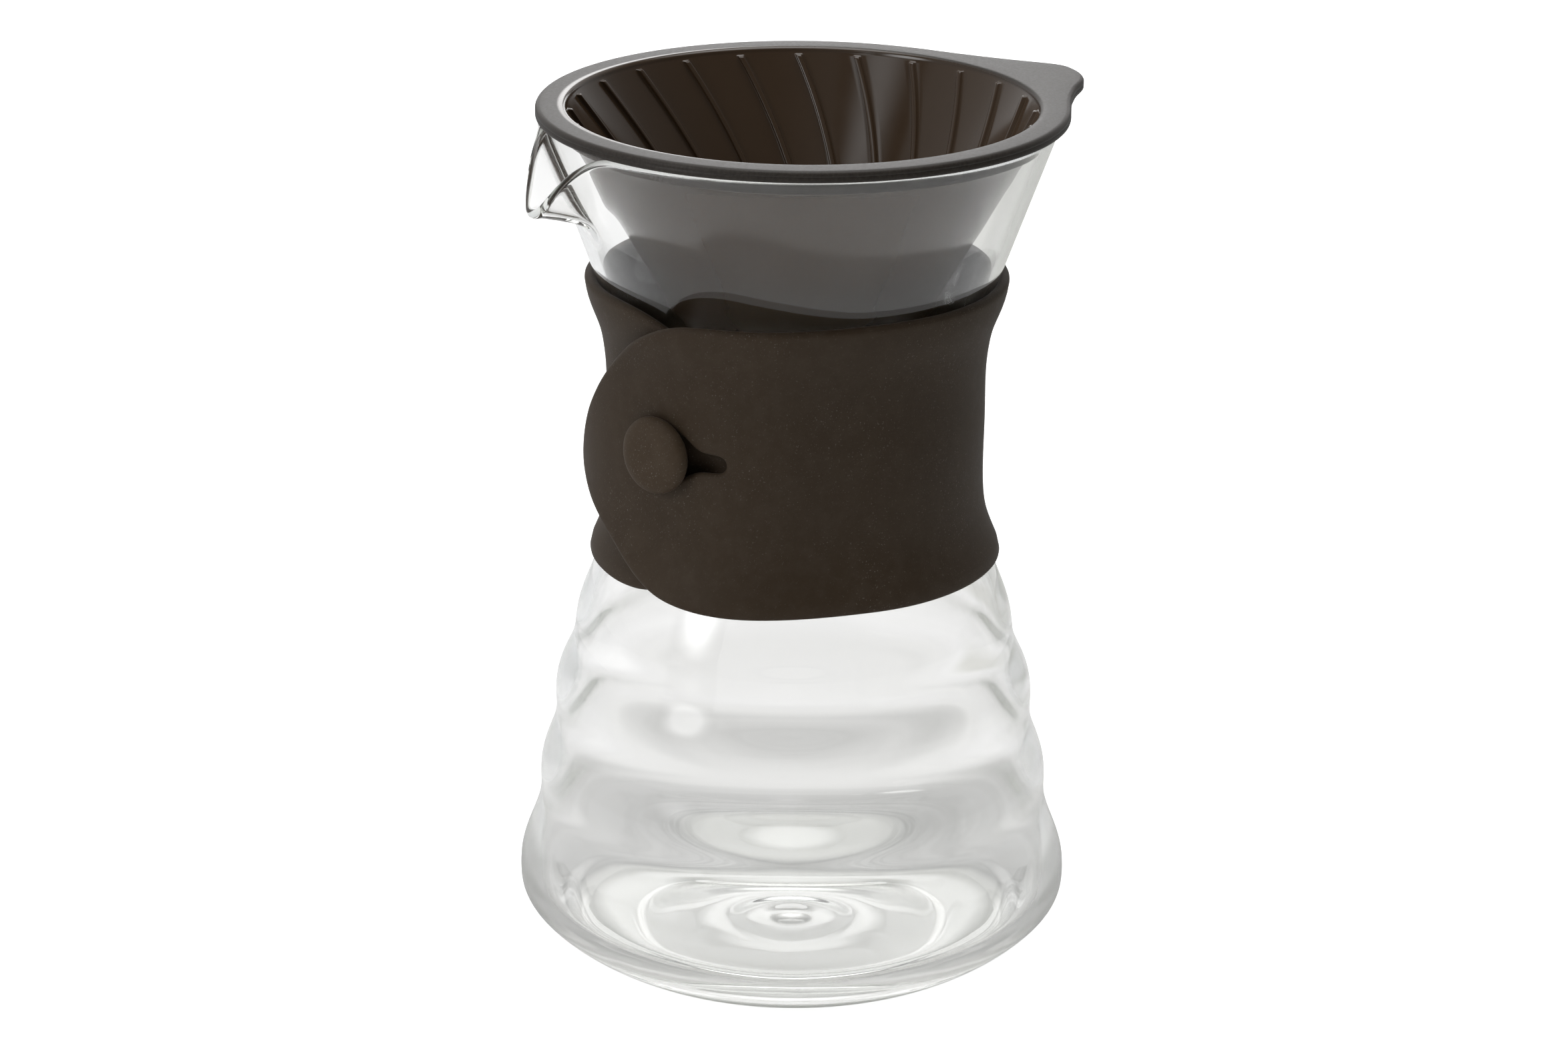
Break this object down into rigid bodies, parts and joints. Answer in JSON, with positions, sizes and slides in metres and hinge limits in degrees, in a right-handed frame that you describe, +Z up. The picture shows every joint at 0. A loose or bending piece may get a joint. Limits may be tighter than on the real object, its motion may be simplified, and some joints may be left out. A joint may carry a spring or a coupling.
{
  "type": "pour over dripper",
  "caption": "Glass coffee decanter with a wavy belly and pouring spout, a drop-in ribbed cone with a finger tab, and a buttoned silicone heat guard round its waist.",
  "frame": {"origin": "centre of the decanter's resting face", "axes": "+Z up along the glass axis, +X towards the dripper's finger tab, -X towards the pouring spout"},
  "size_m": [0.1317, 0.1222, 0.1955],
  "materials": {
    "glass": "clear, fire polished",
    "cone_plastic": "satin flange, glossy inner cone",
    "silicone": "matte silicone",
    "silicone_button": "matte silicone"
  },
  "bodies": {
    "decanter": {"glass_decanter": "glass"},
    "dripper": {"dripper_cone": "cone_plastic"},
    "band": {"band_wrap": "silicone", "band_button": "silicone_button"},
    "flap": {"band_flap": "silicone"}
  },
  "joints": [
    {"name": "dripper_lift", "type": "slide", "parent": "decanter", "child": "dripper", "axis": [0, 0, 1], "range_m": [0, 0.085]},
    {"name": "band_turn", "type": "hinge", "parent": "decanter", "child": "band", "pos_m": [0, 0, 0.126], "axis": [0, 0, 1], "continuous": true},
    {"name": "flap_peel", "type": "hinge", "parent": "band", "child": "flap", "pos_m": [0.00941, -0.04544, 0.126], "axis": [0, 0, 1], "range_deg": [0, 100]}
  ]
}
